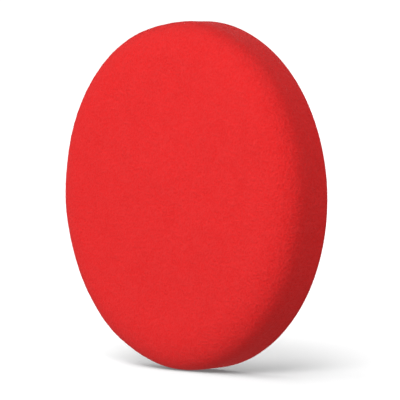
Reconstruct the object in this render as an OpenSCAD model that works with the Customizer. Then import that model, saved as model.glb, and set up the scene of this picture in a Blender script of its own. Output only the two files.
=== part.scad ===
// Round foam polishing pad with a hook-and-loop backing.
// The pad stands on its rim: its axis lies along Y, the working face looks along -Y,
// and the tips of the loops lie in the plane Y = 0, with the origin at their centre.

/* [Foam disc] */
// Diameter of the foam at its widest
foam_d = 165; // [120:1:200]
// Thickness of the foam from its back to the working face
foam_t = 26; // [20:0.5:40]
// How far the round of the working edge runs back along the rim
face_round_axial = 14; // [2:0.5:14]
// How far the round of the working edge runs in across the face
face_round_radial = 20; // [2:0.5:30]
// How far the round of the back edge runs forward along the rim
back_round_axial = 2.5; // [0.5:0.5:5]
// How far the round of the back edge runs in across the back
back_round_radial = 5; // [0.5:0.5:6]
// Fullness of both rounds: 2 is an ellipse, more is squarer
fullness = 2.6; // [2:0.1:3]

/* [Loop backing] */
// Diameter of the backing, which suits a 6 inch backing plate
backing_d = 152; // [100:1:185]
// Thickness of the adhesive film between the foam and the cloth
film_t = 0.3; // [0.1:0.1:1]
// Thickness of the knitted ground cloth
cloth_t = 0.6; // [0.3:0.1:1]
// Height of the loops above the ground cloth
pile_t = 1.3; // [0.8:0.1:3]
// How far the loops stop short of the edge of the cloth
pile_margin = 0.6; // [0:0.1:2]

/* [Hidden] */
$fn = 180;
round_steps = 12;

// Each layer's back face, counted forward from the tips of the loops
cloth_back = pile_t;
film_back = cloth_back + cloth_t;
foam_back = film_back + film_t;
foam_face = foam_back + foam_t;

// Points of a quarter round from its start on the rim (t = 0) to its end on a flat face (t = 1)
function round_out(t) = pow(cos(90 * t), 2 / fullness);
function round_up(t) = pow(sin(90 * t), 2 / fullness);

// Half of the foam's cross-section: radius across, depth forward from the loop tips
function back_round() = [
    for (i = [round_steps : -1 : 0])
        let (t = i / round_steps)
        [foam_d / 2 - back_round_radial * (1 - round_out(t)),
         foam_back + back_round_axial * (1 - round_up(t))]
];
function face_round() = [
    for (i = [0 : round_steps])
        let (t = i / round_steps)
        [foam_d / 2 - face_round_radial * (1 - round_out(t)),
         foam_face - face_round_axial * (1 - round_up(t))]
];
foam_section = concat([[0, foam_back]], back_round(), face_round(), [[0, foam_face]]);

// Turns a shape that rises along +Z so that it runs forward from the loop tips, along -Y
module facing_forward() {
    rotate([90, 0, 0]) children();
}

// A flat disc whose back lies at depth back
module layer(diameter, thickness, back) {
    facing_forward() translate([0, 0, back]) cylinder(d = diameter, h = thickness);
}

// The open-cell foam: flat face, round working edge, straight rim and a small round at the back
module foam_disc() {
    color([0.86, 0.09, 0.10]) facing_forward() rotate_extrude() polygon(foam_section);
}

// The adhesive film that holds the loop cloth to the foam
module bond_film() {
    color([0.80, 0.74, 0.62]) layer(backing_d, film_t, film_back);
}

// The knitted ground of the loop cloth
module loop_cloth() {
    color([0.82, 0.82, 0.80]) layer(backing_d, cloth_t, cloth_back);
}

// The zone of raised loops that the hooks of a backing plate catch
module loop_pile() {
    color([0.94, 0.94, 0.92]) layer(backing_d - 2 * pile_margin, pile_t, 0);
}

foam_disc();
bond_film();
loop_cloth();
loop_pile();
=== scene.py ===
import math

import bpy
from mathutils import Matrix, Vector


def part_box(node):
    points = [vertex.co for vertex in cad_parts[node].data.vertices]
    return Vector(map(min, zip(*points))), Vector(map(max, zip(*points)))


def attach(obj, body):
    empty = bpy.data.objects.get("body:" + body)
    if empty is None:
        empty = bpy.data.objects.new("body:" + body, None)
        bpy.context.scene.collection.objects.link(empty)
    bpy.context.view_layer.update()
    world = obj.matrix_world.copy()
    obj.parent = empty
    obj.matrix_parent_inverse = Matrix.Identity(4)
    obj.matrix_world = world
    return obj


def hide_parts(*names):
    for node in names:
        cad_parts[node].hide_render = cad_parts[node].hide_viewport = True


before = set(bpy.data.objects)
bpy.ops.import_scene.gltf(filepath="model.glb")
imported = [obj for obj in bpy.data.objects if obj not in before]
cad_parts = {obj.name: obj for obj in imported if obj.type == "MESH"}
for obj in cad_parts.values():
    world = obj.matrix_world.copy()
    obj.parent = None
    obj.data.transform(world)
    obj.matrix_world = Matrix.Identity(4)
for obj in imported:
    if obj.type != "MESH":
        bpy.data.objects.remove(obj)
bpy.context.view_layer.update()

# ---------------------------------------------------------------------------------------------------
# The foam disc: open-cell polyurethane foam, cut from sheet and ground round at its working edge.
# Its skin is a fine net of burst cells, and a soft foam never cuts perfectly true, so the surface
# dips and swells a little. It stands on its rim; the backing is bonded to its back face.
# ---------------------------------------------------------------------------------------------------

foam_low, foam_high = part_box("foam_disc")
foam_radius = (foam_high.x - foam_low.x) / 2
foam_back = foam_high.y
foam_face = foam_low.y

# Each round runs in across the flat and back along the rim. A fullness of 2 would be an ellipse.
# The fine grain runs a margin in over the back, and the bonded back itself stays flat.
face_round_across = 0.020
face_round_along = 0.014
back_round_across = 0.005
back_round_along = 0.0025
round_fullness = 2.6
steps_in_a_round = 40
foam_grain_step = 0.00063
hidden_back_step = 0.004
fine_back_margin = 0.004
flat_back_depth = 0.006
hair = 1e-9

# The patterns in the skin, and each one's share of the relief and of the tone. Through the relief, the
# tone carries painted shade in the pores and painted glints on the struts.
pores_per_metre = 2300.0
pore_groups_per_metre = 850.0
fluff_per_metre = 1300.0
clouds_per_metre = 150.0
pore_wall = 0.02
pore_middle = 0.3
pore_share = 0.3
group_share = 0.95
cloud_share = 0.7
least_tone = 0.85
greatest_tone = 1.85
relief_depth = 0.00036
foam_roughness = 0.7
foam_shine = 0.03
foam_bloom = 0.03
# The dark end is random tone plus painted shade in the pores; the pale, less saturated end is random
# tone plus painted glints on the struts.
dark_tone_and_pore_shade_red = (0.735, 0.0150, 0.0155, 1)
light_tone_and_strut_glint_red = (0.750, 0.0275, 0.0285, 1)
bloom_red = (1.0, 0.75, 0.7, 1.0)


def quarter_round(t):
    """How far out and how far up a quarter round has come, t = 0 at the rim and t = 1 on the flat."""
    out = max(math.cos(t * math.pi / 2), 0.0) ** (2 / round_fullness)
    up = max(math.sin(t * math.pi / 2), 0.0) ** (2 / round_fullness)
    return out, up


def foam_section():
    """Half of the disc's section as (radius, y), from the face's centre over the rim to the back's."""
    points = [(0.0, foam_face)]
    for step in range(steps_in_a_round, -1, -1):
        out, up = quarter_round(step / steps_in_a_round)
        points.append((foam_radius - face_round_across * (1 - out),
                       foam_face + face_round_along * (1 - up)))
    for step in range(steps_in_a_round + 1):
        out, up = quarter_round(step / steps_in_a_round)
        points.append((foam_radius - back_round_across * (1 - out),
                       foam_back - back_round_along * (1 - up)))
    return points + [(0.0, foam_back)]


def even_section(section, step, hidden_step):
    """The same section with points a step apart, and wider apart on the back that the cloth covers."""
    covered = foam_radius - back_round_across - fine_back_margin
    points = [section[0]]
    travelled = 0.0
    for before, after in zip(section, section[1:]):
        length = math.dist(before, after)
        place = 0.0
        while True:
            radius = before[0] + (after[0] - before[0]) * place / length
            on_back = before[1] >= foam_back - hair and radius < covered
            wanted = (hidden_step if on_back else step) - travelled
            if place + wanted > length:
                travelled += length - place
                break
            place += wanted
            travelled = 0.0
            points.append((before[0] + (after[0] - before[0]) * place / length,
                           before[1] + (after[1] - before[1]) * place / length))
    if points[-1][0] < hidden_step / 2:
        points.pop()
    return points + [section[-1]]


def turned_disc(name, section):
    """A closed disc about the Y axis. Each ring has as many points as its length needs."""
    vertices = [(0.0, section[0][1], 0.0)]
    rings = []
    for ring, (radius, y) in enumerate(section[1:-1], 1):
        spacing = math.dist(section[ring], section[ring + 1])
        spacing = max(spacing, math.dist(section[ring - 1], section[ring]))
        count = max(6, round(2 * math.pi * radius / spacing))
        rings.append(list(range(len(vertices), len(vertices) + count)))
        start = 0.5 * (ring % 2)
        for step in range(count):
            angle = 2 * math.pi * (step + start) / count
            vertices.append((radius * math.cos(angle), y, radius * math.sin(angle)))
    vertices.append((0.0, section[-1][1], 0.0))
    faces = []
    first = rings[0]
    last = rings[-1]
    for step in range(len(first)):
        faces.append((0, first[step], first[(step + 1) % len(first)]))
    for near, far in zip(rings, rings[1:]):
        near_step = 0
        far_step = 0
        while near_step < len(near) or far_step < len(far):
            corner = near[near_step % len(near)]
            across = far[far_step % len(far)]
            near_is_behind = (near_step + 1) / len(near) <= (far_step + 1) / len(far)
            if near_is_behind and near_step < len(near) or far_step == len(far):
                faces.append((corner, across, near[(near_step + 1) % len(near)]))
                near_step += 1
            else:
                faces.append((corner, across, far[(far_step + 1) % len(far)]))
                far_step += 1
    for step in range(len(last)):
        faces.append((len(vertices) - 1, last[(step + 1) % len(last)], last[step]))
    mesh = bpy.data.meshes.new(name)
    mesh.from_pydata(vertices, [], faces)
    mesh.update()
    made = bpy.data.objects.new(name, mesh)
    bpy.context.scene.collection.objects.link(made)
    return made


def new_tree(name, inputs):
    """A geometry tree with one geometry input and named inputs of (name, kind, default)."""
    tree = bpy.data.node_groups.new(name, "GeometryNodeTree")
    tree.interface.new_socket("Geometry", in_out="INPUT", socket_type="NodeSocketGeometry")
    for label, kind, default in inputs:
        socket = tree.interface.new_socket(label, in_out="INPUT", socket_type=kind)
        socket.default_value = default
    tree.interface.new_socket("Geometry", in_out="OUTPUT", socket_type="NodeSocketGeometry")
    return tree


def add(tree, kind, values=(), links=(), **settings):
    """Adds a node, sets its sockets by name or number, and links outputs of other nodes into it."""
    node = tree.nodes.new(kind)
    for key, value in settings.items():
        setattr(node, key, value)
    for key, value in dict(values).items():
        node.inputs[key].default_value = value
    for key, source in dict(links).items():
        tree.links.new(source, node.inputs[key])
    return node


def run_tree(piece, tree, inputs):
    """Runs a geometry tree on a piece with these inputs, and keeps the result as a plain mesh."""
    modifier = piece.modifiers.new(tree.name, "NODES")
    modifier.node_group = tree
    for item in tree.interface.items_tree:
        if item.in_out == "INPUT" and item.name in inputs:
            modifier[item.identifier] = inputs[item.name]
    bpy.context.view_layer.update()
    graph = bpy.context.evaluated_depsgraph_get()
    mesh = bpy.data.meshes.new_from_object(piece.evaluated_get(graph), depsgraph=graph)
    piece.modifiers.clear()
    plain = piece.data
    piece.data = mesh
    bpy.data.meshes.remove(plain)
    mesh.name = piece.name


def foam_material():
    """Matt red foam: small pores in wider groups, a fluff of cut struts, and faint clouds of tone. The
    colour is darker in the pores, as painted shade, and paler and less saturated on the raised struts,
    as painted glints.
    """
    material = bpy.data.materials.new("red_open_cell_foam")
    material.use_nodes = True
    tree = material.node_tree
    tree.nodes.clear()
    place = add(tree, "ShaderNodeTexCoord").outputs["Object"]
    pores = add(tree, "ShaderNodeTexVoronoi", {"Scale": pores_per_metre}, {"Vector": place},
                feature="DISTANCE_TO_EDGE")
    groups = add(tree, "ShaderNodeTexVoronoi", {"Scale": pore_groups_per_metre}, {"Vector": place})
    fluff = add(tree, "ShaderNodeTexNoise",
                {"Scale": fluff_per_metre, "Detail": 2.0, "Roughness": 0.6}, {"Vector": place})
    cloud = add(tree, "ShaderNodeTexNoise",
                {"Scale": clouds_per_metre, "Detail": 4.0, "Roughness": 0.6}, {"Vector": place})
    pits = add(tree, "ShaderNodeMapRange",
               {"From Min": pore_wall, "From Max": pore_middle, "To Min": 1.0, "To Max": 0.0},
               {"Value": pores.outputs["Distance"]}, interpolation_type="SMOOTHSTEP")
    struts = add(tree, "ShaderNodeMath", {1: pore_share},
                 {0: pits.outputs["Result"], 2: fluff.outputs["Fac"]}, operation="MULTIPLY_ADD")
    relief = add(tree, "ShaderNodeMath", {1: group_share},
                 {0: groups.outputs["Distance"], 2: struts.outputs[0]}, operation="MULTIPLY_ADD")
    # The tone follows the relief: painted shade in the pits and painted glints on the struts, with
    # clouds of random tone on top.
    tone = add(tree, "ShaderNodeMath", {1: cloud_share},
               {0: cloud.outputs["Fac"], 2: relief.outputs[0]}, operation="MULTIPLY_ADD")
    spread = add(tree, "ShaderNodeMapRange", {"From Min": least_tone, "From Max": greatest_tone},
                 {"Value": tone.outputs[0]})
    ramp = add(tree, "ShaderNodeValToRGB", {}, {"Fac": spread.outputs["Result"]})
    ramp.color_ramp.elements[0].color = dark_tone_and_pore_shade_red
    ramp.color_ramp.elements[1].color = light_tone_and_strut_glint_red
    bump = add(tree, "ShaderNodeBump", {"Strength": 1.0, "Distance": relief_depth},
               {"Height": relief.outputs[0]})
    shader = add(tree, "ShaderNodeBsdfPrincipled",
                 {"Roughness": foam_roughness, "Specular IOR Level": foam_shine,
                  "Sheen Weight": foam_bloom, "Sheen Roughness": 0.5, "Sheen Tint": bloom_red},
                 {"Base Color": ramp.outputs["Color"], "Normal": bump.outputs["Normal"]})
    add(tree, "ShaderNodeOutputMaterial", {}, {"Surface": shader.outputs["BSDF"]})
    return material


def foam_skin_tree(material):
    """Presses burst cells, lumps and slow swells into the surface, but leaves the bonded back flat."""
    tree = new_tree("foam_skin", [
        ("Cell size", "NodeSocketFloat", 0.001),
        ("Cell depth", "NodeSocketFloat", 0.0001),
        ("Lump size", "NodeSocketFloat", 0.003),
        ("Lump height", "NodeSocketFloat", 0.0001),
        ("Swell size", "NodeSocketFloat", 0.03),
        ("Swell height", "NodeSocketFloat", 0.0003),
        ("Swell seed", "NodeSocketFloat", 0.0),
    ])
    group_in = add(tree, "NodeGroupInput").outputs
    place = add(tree, "GeometryNodeInputPosition").outputs[0]
    normal = add(tree, "GeometryNodeInputNormal").outputs[0]

    def per_metre(size):
        """How often a pattern of that size comes back in one metre."""
        return add(tree, "ShaderNodeMath", {0: 1.0}, {1: size}, operation="DIVIDE").outputs[0]

    def raised(pattern, height, onto=None):
        """The pattern, centred on zero, times its height, on top of what lies below."""
        centred = add(tree, "ShaderNodeMath", {1: 0.5}, {0: pattern}, operation="SUBTRACT").outputs[0]
        if onto is None:
            return add(tree, "ShaderNodeMath", {}, {0: centred, 1: height},
                       operation="MULTIPLY").outputs[0]
        return add(tree, "ShaderNodeMath", {}, {0: centred, 1: height, 2: onto},
                   operation="MULTIPLY_ADD").outputs[0]

    cells = add(tree, "ShaderNodeTexVoronoi", {},
                {"Vector": place, "Scale": per_metre(group_in["Cell size"])})
    lumps = add(tree, "ShaderNodeTexNoise", {"Detail": 2.0},
                {"Vector": place, "Scale": per_metre(group_in["Lump size"])})
    swell = add(tree, "ShaderNodeTexNoise", {"Detail": 0.0},
                {"Vector": place, "Scale": per_metre(group_in["Swell size"]),
                 "W": group_in["Swell seed"]}, noise_dimensions="4D")
    height = raised(swell.outputs["Fac"], group_in["Swell height"])
    height = raised(lumps.outputs["Fac"], group_in["Lump height"], height)
    height = raised(cells.outputs["Distance"], group_in["Cell depth"], height)
    depth = add(tree, "ShaderNodeSeparateXYZ", {}, {0: place}).outputs["Y"]
    in_front = add(tree, "ShaderNodeMapRange",
                   {"From Min": foam_back, "From Max": foam_back - flat_back_depth},
                   {"Value": depth}, interpolation_type="SMOOTHSTEP")
    kept = add(tree, "ShaderNodeMath", {}, {0: height, 1: in_front.outputs["Result"]},
               operation="MULTIPLY")
    offset = add(tree, "ShaderNodeVectorMath", {}, {0: normal}, operation="SCALE")
    tree.links.new(kept.outputs[0], offset.inputs["Scale"])
    moved = add(tree, "GeometryNodeSetPosition", {},
                {"Geometry": group_in["Geometry"], "Offset": offset.outputs[0]})
    real = add(tree, "GeometryNodeRealizeInstances", {}, {"Geometry": moved.outputs[0]})
    smooth = add(tree, "GeometryNodeSetShadeSmooth", {}, {"Geometry": real.outputs[0]})
    painted = add(tree, "GeometryNodeSetMaterial", {"Material": material},
                  {"Geometry": smooth.outputs[0]})
    add(tree, "NodeGroupOutput", {}, {"Geometry": painted.outputs[0]})
    return tree


foam = turned_disc("foam_pad", even_section(foam_section(), foam_grain_step, hidden_back_step))
run_tree(foam, foam_skin_tree(foam_material()), {
    "Cell size": 0.0015,
    "Cell depth": 0.00012,
    "Lump size": 0.0035,
    "Lump height": 0.00035,
    "Swell size": 0.04,
    "Swell height": -0.0024,
    "Swell seed": 577.0,
})
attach(foam, "root")
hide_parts("foam_disc")

# ---------------------------------------------------------------------------------------------------
# The bond film: a hot-melt adhesive web, pressed hot between the foam and the cloth. It shows only as
# a thin amber line round the edge of the backing, where a little squeezes out unevenly.
# ---------------------------------------------------------------------------------------------------

film_low, film_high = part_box("bond_film")
film_radius = (film_high.x - film_low.x) / 2
film_edge_round = 0.00015
film_edge_wander = 0.00035
film_edge_waves = ((3, 0.4, 0.5), (11, 2.0, 0.5), (37, 1.1, 0.6), (83, 0.2, 0.4))
flow_per_metre = 260.0
flow_relief = 0.0002
film_roughness = 0.32
steps_round_the_backing = 720
steps_over_the_edge = 6
edge_zone = 0.0015
rings_on_the_flat = (0.030, 0.006, edge_zone)
sharp_bend = math.radians(50)
dark_amber = (0.50, 0.33, 0.15, 1)
light_amber = (0.74, 0.60, 0.38, 1)


def pressed_disc(name, radius, front, back, edge_round, edge_wander, waves):
    """A thin closed disc about the Y axis. Its rounded edge wanders in and out by the sum of the waves,
    each with how often it goes round, where it starts and its share."""
    middle = (front + back) / 2
    half = (back - front) / 2
    profile = [(-inset, -1.0) for inset in rings_on_the_flat]
    for step in range(steps_over_the_edge + 1):
        turn = math.pi * (step / steps_over_the_edge - 0.5)
        profile.append((edge_round * (math.cos(turn) - 1), math.sin(turn)))
    profile += [(-inset, 1.0) for inset in reversed(rings_on_the_flat)]
    vertices = [(0.0, front, 0.0)]
    for outward, level in profile:
        for step in range(steps_round_the_backing):
            angle = 2 * math.pi * step / steps_round_the_backing
            reach = radius + outward
            if outward > -edge_zone:
                wander = sum(size * math.sin(count * angle + phase) for count, phase, size in waves)
                reach += edge_wander * wander
            vertices.append((reach * math.cos(angle), middle + half * level,
                             reach * math.sin(angle)))
    vertices.append((0.0, back, 0.0))
    faces = []
    last = 1 + (len(profile) - 1) * steps_round_the_backing
    for step in range(steps_round_the_backing):
        after = (step + 1) % steps_round_the_backing
        faces.append((0, 1 + step, 1 + after))
        faces.append((len(vertices) - 1, last + after, last + step))
        for ring in range(len(profile) - 1):
            near = 1 + ring * steps_round_the_backing
            far = near + steps_round_the_backing
            faces.append((near + step, far + step, far + after, near + after))
    mesh = bpy.data.meshes.new(name)
    mesh.from_pydata(vertices, [], faces)
    mesh.shade_smooth()
    mesh.set_sharp_from_angle(angle=sharp_bend)
    made = bpy.data.objects.new(name, mesh)
    bpy.context.scene.collection.objects.link(made)
    return made


def film_material():
    """Amber hot melt, satin, a little darker where it flowed thick."""
    material = bpy.data.materials.new("amber_hot_melt")
    material.use_nodes = True
    tree = material.node_tree
    tree.nodes.clear()
    place = add(tree, "ShaderNodeTexCoord").outputs["Object"]
    flow = add(tree, "ShaderNodeTexNoise", {"Scale": flow_per_metre, "Detail": 3.0},
               {"Vector": place})
    ramp = add(tree, "ShaderNodeValToRGB", {}, {"Fac": flow.outputs["Fac"]})
    ramp.color_ramp.elements[0].position = 0.35
    ramp.color_ramp.elements[0].color = dark_amber
    ramp.color_ramp.elements[1].position = 0.65
    ramp.color_ramp.elements[1].color = light_amber
    bump = add(tree, "ShaderNodeBump", {"Strength": 0.4, "Distance": flow_relief},
               {"Height": flow.outputs["Fac"]})
    shader = add(tree, "ShaderNodeBsdfPrincipled", {"Roughness": film_roughness, "IOR": 1.48},
                 {"Base Color": ramp.outputs["Color"], "Normal": bump.outputs["Normal"]})
    add(tree, "ShaderNodeOutputMaterial", {}, {"Surface": shader.outputs["BSDF"]})
    return material


film = pressed_disc("bond_film_disc", film_radius, film_low.y, film_high.y,
                    film_edge_round, film_edge_wander, film_edge_waves)
film.data.materials.append(film_material())
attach(film, "root")
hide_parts("bond_film")

# ---------------------------------------------------------------------------------------------------
# The loop pile: nylon filament loops of the hook-and-loop backing, knitted in staggered rows into the
# ground cloth and brushed one way, so that each loop leans and turns a little differently.
# ---------------------------------------------------------------------------------------------------

pile_low, pile_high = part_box("loop_pile")
pile_radius = (pile_high.x - pile_low.x) / 2
row_pitch = 0.0016
loop_pitch = 0.0015
# Each loop is an arch a little over a half turn. The plays are how far any one loop strays, in pitches
# for its place and in radians for its turns.
loop_steps = 5
loop_sweep = math.radians(200)
yarn_sides = 3
feet_clear_of_edge = 0.6
place_play = 0.16
lean_play = 0.35
twist_play = 0.9
tilt_play = 0.2
smallest_loop = 0.82
# Each loop is darker towards its feet and brightest just below its tip: painted shade down among the
# loops. Its own tone differs at random from loop to loop.
own_tone_share = 0.3
depth_shade_share = 0.7
unshaded_tip_band = 0.0002
filaments_per_metre = 5200.0
filament_relief = 0.00008
shaded_white = (0.66, 0.66, 0.64, 1)
bright_white = (0.93, 0.93, 0.91, 1)


def yarn_material():
    """White nylon filament, with painted shade that darkens each loop towards its feet, and no two
    loops quite the same white.
    """
    material = bpy.data.materials.new("white_nylon_loops")
    material.use_nodes = True
    tree = material.node_tree
    tree.nodes.clear()
    place = add(tree, "ShaderNodeTexCoord").outputs["Object"]
    own = add(tree, "ShaderNodeAttribute", attribute_name="loop_tone").outputs["Fac"]
    depth = add(tree, "ShaderNodeSeparateXYZ", {}, {0: place}).outputs["Y"]
    raised = add(tree, "ShaderNodeMapRange",
                 {"From Min": pile_low.y, "From Max": pile_high.y - unshaded_tip_band,
                  "To Min": 0.0, "To Max": depth_shade_share},
                 {"Value": depth})
    blend = add(tree, "ShaderNodeMath", {1: own_tone_share}, {0: own, 2: raised.outputs["Result"]},
                operation="MULTIPLY_ADD")
    ramp = add(tree, "ShaderNodeValToRGB", {}, {"Fac": blend.outputs[0]})
    ramp.color_ramp.elements[0].color = shaded_white
    ramp.color_ramp.elements[1].color = bright_white
    filaments = add(tree, "ShaderNodeTexNoise", {"Scale": filaments_per_metre, "Detail": 2.0},
                    {"Vector": place})
    bump = add(tree, "ShaderNodeBump", {"Strength": 0.5, "Distance": filament_relief},
               {"Height": filaments.outputs["Fac"]})
    shader = add(tree, "ShaderNodeBsdfPrincipled",
                 {"Roughness": 0.5, "Sheen Weight": 0.3, "Sheen Roughness": 0.4},
                 {"Base Color": ramp.outputs["Color"], "Normal": bump.outputs["Normal"]})
    add(tree, "ShaderNodeOutputMaterial", {}, {"Surface": shader.outputs["BSDF"]})
    return material


def loop_rows_tree(material):
    """Rows of arched yarn loops that stand along +Y on a disc."""
    tree = new_tree("loop_rows", [
        ("Disc radius", "NodeSocketFloat", 0.075),
        ("Row pitch", "NodeSocketFloat", 0.0018),
        ("Loop pitch", "NodeSocketFloat", 0.0018),
        ("Loop width", "NodeSocketFloat", 0.0012),
        ("Loop height", "NodeSocketFloat", 0.0012),
        ("Yarn thickness", "NodeSocketFloat", 0.0003),
        ("Lean", "NodeSocketFloat", 0.3),
        ("Foot level", "NodeSocketFloat", 0.0),
        ("Seed", "NodeSocketInt", 1),
    ])
    group_in = add(tree, "NodeGroupInput").outputs

    def maths(operation, *terms):
        """One sum. Each term is a number or another node's output."""
        node = add(tree, "ShaderNodeMath", operation=operation)
        for place, term in enumerate(terms):
            if isinstance(term, (int, float)):
                node.inputs[place].default_value = term
            else:
                tree.links.new(term, node.inputs[place])
        return node.outputs[0]

    def random_number(low, high, offset):
        """Another number between low and high for each loop. Each offset is a draw of its own."""
        seed = maths("ADD", group_in["Seed"], offset)
        node = add(tree, "FunctionNodeRandomValue", data_type="FLOAT")
        node.inputs[2].default_value = low
        node.inputs[3].default_value = high
        tree.links.new(seed, node.inputs["Seed"])
        return node.outputs[1]

    across = maths("MULTIPLY", group_in["Disc radius"], 2)
    grid = add(tree, "GeometryNodeMeshGrid", {}, {
        "Size X": across, "Size Y": across,
        "Vertices X": maths("ROUND", maths("DIVIDE", across, group_in["Loop pitch"])),
        "Vertices Y": maths("ROUND", maths("DIVIDE", across, group_in["Row pitch"]))})
    here = add(tree, "ShaderNodeSeparateXYZ", {},
               {0: add(tree, "GeometryNodeInputPosition").outputs[0]})
    row = maths("ROUND", maths("DIVIDE", here.outputs["Y"], group_in["Row pitch"]))
    half_pitch = maths("MULTIPLY", group_in["Loop pitch"], 0.5)
    stagger = maths("MULTIPLY", maths("FLOORED_MODULO", row, 2), half_pitch)
    play_along = maths("MULTIPLY", random_number(-place_play, place_play, 1), group_in["Loop pitch"])
    along = maths("ADD", maths("ADD", here.outputs["X"], stagger), play_along)
    play_up = maths("MULTIPLY", random_number(-place_play, place_play, 2), group_in["Row pitch"])
    up = maths("ADD", here.outputs["Y"], play_up)
    foot = add(tree, "ShaderNodeCombineXYZ", {}, {0: along, 1: group_in["Foot level"], 2: up})
    laid = add(tree, "GeometryNodeSetPosition", {},
               {"Geometry": grid.outputs["Mesh"], "Position": foot.outputs[0]})
    settled = add(tree, "ShaderNodeSeparateXYZ", {},
                  {0: add(tree, "GeometryNodeInputPosition").outputs[0]})
    reach = maths("SQRT", maths("ADD", maths("MULTIPLY", settled.outputs["X"], settled.outputs["X"]),
                                maths("MULTIPLY", settled.outputs["Z"], settled.outputs["Z"])))
    inside = maths("SUBTRACT", group_in["Disc radius"],
                   maths("MULTIPLY", group_in["Loop width"], feet_clear_of_edge))
    kept = add(tree, "GeometryNodeDeleteGeometry", {},
               {"Geometry": laid.outputs[0], "Selection": maths("GREATER_THAN", reach, inside)},
               domain="POINT")

    arch = add(tree, "GeometryNodeCurveArc", {"Resolution": loop_steps, "Radius": 1.0,
                                              "Sweep Angle": loop_sweep,
                                              "Start Angle": (math.pi - loop_sweep) / 2})
    size = add(tree, "ShaderNodeCombineXYZ", {2: 1.0},
               {0: maths("MULTIPLY", group_in["Loop width"], 0.5), 1: group_in["Loop height"]})
    shaped = add(tree, "GeometryNodeTransform", {},
                 {"Geometry": arch.outputs["Curve"], "Scale": size.outputs[0]})
    yarn = add(tree, "GeometryNodeCurvePrimitiveCircle", {"Resolution": yarn_sides},
               {"Radius": maths("MULTIPLY", group_in["Yarn thickness"], 0.5)})
    loop = add(tree, "GeometryNodeCurveToMesh", {"Fill Caps": True},
               {"Curve": shaped.outputs[0], "Profile Curve": yarn.outputs[0]})
    turn = add(tree, "ShaderNodeCombineXYZ", {}, {
        0: maths("ADD", group_in["Lean"], random_number(-lean_play, lean_play, 3)),
        1: random_number(-twist_play, twist_play, 4),
        2: random_number(-tilt_play, tilt_play, 5)})
    planted = add(tree, "GeometryNodeInstanceOnPoints", {}, {
        "Points": kept.outputs[0], "Instance": loop.outputs[0], "Rotation": turn.outputs[0],
        "Scale": random_number(smallest_loop, 1.0, 6)})
    toned = add(tree, "GeometryNodeStoreNamedAttribute", {"Name": "loop_tone"},
                {"Geometry": planted.outputs[0], "Value": random_number(0.0, 1.0, 7)},
                data_type="FLOAT", domain="INSTANCE")
    real = add(tree, "GeometryNodeRealizeInstances", {}, {"Geometry": toned.outputs[0]})
    smooth = add(tree, "GeometryNodeSetShadeSmooth", {}, {"Geometry": real.outputs[0]})
    painted = add(tree, "GeometryNodeSetMaterial", {"Material": material},
                  {"Geometry": smooth.outputs[0]})
    add(tree, "NodeGroupOutput", {}, {"Geometry": painted.outputs[0]})
    return tree


pile = bpy.data.objects.new("loop_pile_yarn", bpy.data.meshes.new("loop_pile_yarn"))
bpy.context.scene.collection.objects.link(pile)
run_tree(pile, loop_rows_tree(yarn_material()), {
    "Disc radius": pile_radius,
    "Row pitch": row_pitch,
    "Loop pitch": loop_pitch,
    "Loop width": 0.0015,
    "Loop height": 0.0014,
    "Yarn thickness": 0.00040,
    "Lean": 0.90,
    "Foot level": pile_low.y,
    "Seed": 12,
})
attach(pile, "root")
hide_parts("loop_pile")

# ---------------------------------------------------------------------------------------------------
# The ground cloth: the thin warp-knit nylon that carries the loops. It is cut hot, so its edge is
# melted to a smooth, slightly yellow line, and the bond film holds it flat on the foam.
# ---------------------------------------------------------------------------------------------------

cloth_low, cloth_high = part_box("loop_cloth")
cloth_radius = (cloth_high.x - cloth_low.x) / 2
cloth_edge_round = 0.0003
cloth_edge_wander = 0.00025
cloth_edge_waves = ((2, 0.9, 0.4), (7, 1.0, 0.3), (29, 0.3, 0.3), (140, 2.1, 0.4))
# The knit repeats with the loops and the rows. The melted band is measured in from the cloth's edge.
wales_to_a_loop = 0.47
courses_to_a_row = 0.62
knit_wander = 3.0
yarns_per_metre = 2600.0
yarn_share = 0.35
knit_relief = 0.0001
knit_roughness = 0.85
melt_starts = 0.0009
melt_ends = 0.0003
melted_roughness = 0.35
shaded_knit = (0.52, 0.52, 0.50, 1)
bright_knit = (0.70, 0.70, 0.67, 1)
melted_yellow = (0.62, 0.57, 0.44, 1)


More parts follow.
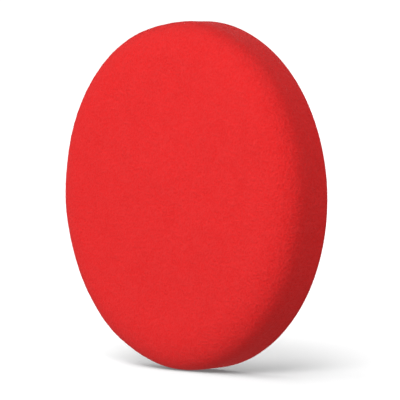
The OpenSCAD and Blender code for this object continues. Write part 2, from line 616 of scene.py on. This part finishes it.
def cloth_material():
    """Dull warp knit of crossing wales and courses, smooth and slightly yellow at its hot-cut edge."""
    material = bpy.data.materials.new("knitted_nylon_ground")
    material.use_nodes = True
    tree = material.node_tree
    tree.nodes.clear()
    place = add(tree, "ShaderNodeTexCoord").outputs["Object"]
    wales = add(tree, "ShaderNodeTexWave",
                {"Scale": wales_to_a_loop / loop_pitch, "Distortion": knit_wander, "Detail": 1.0},
                {"Vector": place}, wave_type="BANDS", bands_direction="X")
    courses = add(tree, "ShaderNodeTexWave",
                  {"Scale": courses_to_a_row / row_pitch, "Distortion": knit_wander, "Detail": 1.0},
                  {"Vector": place}, wave_type="BANDS", bands_direction="Z")
    yarns = add(tree, "ShaderNodeTexNoise", {"Scale": yarns_per_metre, "Detail": 3.0},
                {"Vector": place})
    stitch = add(tree, "ShaderNodeMath", {}, {0: wales.outputs["Fac"], 1: courses.outputs["Fac"]},
                 operation="MULTIPLY")
    knit = add(tree, "ShaderNodeMath", {1: yarn_share},
               {0: yarns.outputs["Fac"], 2: stitch.outputs[0]}, operation="MULTIPLY_ADD")
    shade = add(tree, "ShaderNodeValToRGB", {}, {"Fac": knit.outputs[0]})
    shade.color_ramp.elements[0].color = shaded_knit
    shade.color_ramp.elements[1].color = bright_knit
    flat = add(tree, "ShaderNodeVectorMath", {1: (1.0, 0.0, 1.0)}, {0: place}, operation="MULTIPLY")
    reach = add(tree, "ShaderNodeVectorMath", {}, {0: flat.outputs[0]}, operation="LENGTH")
    melted = add(tree, "ShaderNodeMapRange",
                 {"From Min": cloth_radius - melt_starts, "From Max": cloth_radius - melt_ends},
                 {"Value": reach.outputs["Value"]}, interpolation_type="SMOOTHSTEP")
    edge = add(tree, "ShaderNodeMix", {7: melted_yellow},
               {0: melted.outputs["Result"], 6: shade.outputs["Color"]}, data_type="RGBA")
    rough = add(tree, "ShaderNodeMapRange", {"To Min": knit_roughness, "To Max": melted_roughness},
                {"Value": melted.outputs["Result"]})
    bump = add(tree, "ShaderNodeBump", {"Strength": 0.7, "Distance": knit_relief},
               {"Height": knit.outputs[0]})
    shader = add(tree, "ShaderNodeBsdfPrincipled", {"Sheen Weight": 0.15, "Sheen Roughness": 0.5},
                 {"Base Color": edge.outputs[2], "Roughness": rough.outputs["Result"],
                  "Normal": bump.outputs["Normal"]})
    add(tree, "ShaderNodeOutputMaterial", {}, {"Surface": shader.outputs["BSDF"]})
    return material


cloth = pressed_disc("loop_ground_cloth", cloth_radius, cloth_low.y, cloth_high.y,
                     cloth_edge_round, cloth_edge_wander, cloth_edge_waves)
cloth.data.materials.append(cloth_material())
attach(cloth, "root")
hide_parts("loop_cloth")

# ---------------------------------------------------------------------------------------------------
# The studio: a plain white floor and surround, a soft light in front at the left, a smaller one at the
# right and a large one behind. Three broad suns light only the floor, so the pad's shadow lies soft.
# ---------------------------------------------------------------------------------------------------

floor_level = min(point.co.z for point in foam.data.vertices)
floor_half = 30.0
floor_paint = (0.05, 0.05, 0.05, 1)
floor_glow = 0.15
floor_bounce = 0.51
surround_seen = 1.1
surround_light = 0.57
white = (1, 1, 1, 1)

floor_mesh = bpy.data.meshes.new("floor")
floor_mesh.from_pydata([(-floor_half, -floor_half, floor_level), (floor_half, -floor_half, floor_level),
                        (floor_half, floor_half, floor_level), (-floor_half, floor_half, floor_level)],
                       [], [(0, 1, 2, 3)])
floor = bpy.data.objects.new("floor", floor_mesh)
bpy.context.scene.collection.objects.link(floor)
floor_material = bpy.data.materials.new("white_floor")
floor_material.use_nodes = True
floor_tree = floor_material.node_tree
floor_tree.nodes.clear()
paint = add(floor_tree, "ShaderNodeBsdfDiffuse", {"Color": floor_paint})
glow = add(floor_tree, "ShaderNodeEmission", {"Color": white, "Strength": floor_glow})
bounce = add(floor_tree, "ShaderNodeEmission", {"Color": white, "Strength": floor_bounce})
floor_ray = add(floor_tree, "ShaderNodeLightPath")
floor_seen = add(floor_tree, "ShaderNodeAddShader", {}, {0: paint.outputs[0], 1: glow.outputs[0]})
floor_choice = add(floor_tree, "ShaderNodeMixShader", {},
                   {0: floor_ray.outputs["Is Camera Ray"], 1: bounce.outputs[0],
                    2: floor_seen.outputs[0]})
add(floor_tree, "ShaderNodeOutputMaterial", {}, {"Surface": floor_choice.outputs[0]})
floor_mesh.materials.append(floor_material)

world = bpy.data.worlds.new("white_surround")
bpy.context.scene.world = world
world.use_nodes = True
world_tree = world.node_tree
world_tree.nodes.clear()
seen = add(world_tree, "ShaderNodeBackground", {"Color": white, "Strength": surround_seen})
lit = add(world_tree, "ShaderNodeBackground", {"Color": white, "Strength": surround_light})
ray = add(world_tree, "ShaderNodeLightPath")
choice = add(world_tree, "ShaderNodeMixShader", {},
             {0: ray.outputs["Is Camera Ray"], 1: lit.outputs[0], 2: seen.outputs[0]})
add(world_tree, "ShaderNodeOutputWorld", {}, {"Surface": choice.outputs[0]})

centre = Vector((0, (foam_face + foam_back) / 2, 0))
camera_azimuth = 47.15
camera_elevation = 2.45
camera_distance = 1.65
camera_lens = 313.5
aim_right = 0.0060
aim_down = 0.0022
sun_distance = 1.8


def direction_of(azimuth, elevation):
    """The direction from the pad at those angles in degrees. Azimuth 0 lies in front of its face."""
    turn = math.radians(azimuth)
    rise = math.radians(elevation)
    return Vector((math.sin(turn) * math.cos(rise), -math.cos(turn) * math.cos(rise),
                   math.sin(rise)))


camera_back = direction_of(camera_azimuth, camera_elevation)
camera_right = direction_of(camera_azimuth + 90, 0)
camera_up = camera_back.cross(camera_right)
aim = centre + camera_right * aim_right - camera_up * aim_down

camera_data = bpy.data.cameras.new("camera")
camera = bpy.data.objects.new("camera", camera_data)
bpy.context.scene.collection.objects.link(camera)
camera.location = aim + camera_back * camera_distance
camera.rotation_mode = "QUATERNION"
camera.rotation_quaternion = (-camera_back).to_track_quat("-Z", "Y")
camera_data.sensor_width = 36
camera_data.lens = camera_lens
camera_data.clip_start = 0.05
camera_data.clip_end = 200
bpy.context.scene.camera = camera


def place_lamp(name, data, azimuth, elevation, distance):
    """Puts a lamp in that direction from the pad, and turns it to the pad."""
    lamp = bpy.data.objects.new(name, data)
    bpy.context.scene.collection.objects.link(lamp)
    direction = direction_of(azimuth, elevation)
    lamp.location = centre + direction * distance
    lamp.rotation_mode = "QUATERNION"
    lamp.rotation_quaternion = (-direction).to_track_quat("-Z", "Y")
    return lamp


def soft_light(name, azimuth, elevation, distance, size, power):
    """A square soft light on the pad from that direction."""
    data = bpy.data.lights.new(name, "AREA")
    data.shape = "SQUARE"
    data.size = size
    data.energy = power
    place_lamp(name, data, azimuth, elevation, distance)


floor_only = bpy.data.collections.new("floor_only")
floor_only.objects.link(floor)


def floor_sun(name, azimuth, elevation, spread, strength):
    """A broad sun that reaches nothing but the floor."""
    data = bpy.data.lights.new(name, "SUN")
    data.angle = math.radians(spread)
    data.energy = strength
    lamp = place_lamp(name, data, azimuth, elevation, sun_distance)
    lamp.light_linking.receiver_collection = floor_only


soft_light("left_light", azimuth=-10, elevation=14, distance=0.55, size=0.3, power=1.98)
soft_light("right_light", azimuth=50, elevation=30, distance=0.55, size=0.3, power=0.85)
soft_light("back_light", azimuth=200, elevation=10, distance=1.8, size=1.2, power=20)

floor_sun("floor_left", azimuth=-90, elevation=36, spread=80, strength=50)
floor_sun("floor_front", azimuth=36, elevation=34, spread=30, strength=36)
floor_sun("floor_top", azimuth=20, elevation=60, spread=50, strength=16)

bpy.context.scene.view_settings.view_transform = "Standard"
bpy.context.scene.view_settings.look = "None"
